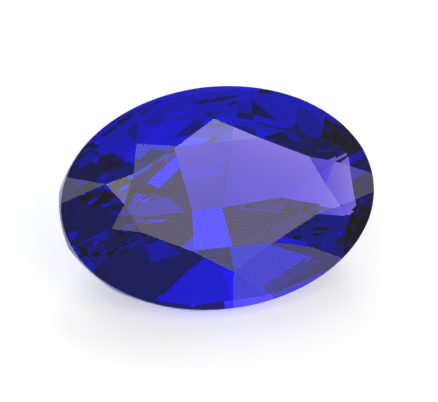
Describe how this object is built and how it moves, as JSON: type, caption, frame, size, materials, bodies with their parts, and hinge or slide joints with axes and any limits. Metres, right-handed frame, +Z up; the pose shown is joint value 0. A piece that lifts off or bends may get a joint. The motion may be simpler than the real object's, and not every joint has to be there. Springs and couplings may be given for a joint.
{
  "type": "oval faceted tanzanite gemstone",
  "caption": "Oval faceted violet-blue gemstone with a wide table, a kite and star crown, a thin girdle and a keeled pavilion, lying on one pavilion facet.",
  "frame": {"origin": "centre of the bounding box at the ground, under the stone as it lies on its resting facet", "axes": "+X along the stone's long axis, -Y the side that the table leans towards, +Z up"},
  "size_m": [0.0146, 0.008, 0.0067],
  "materials": {
    "tanzanite": "polished, transparent violet-blue"
  },
  "bodies": {
    "root": {"tanzanite": "tanzanite"}
  },
  "joints": []
}
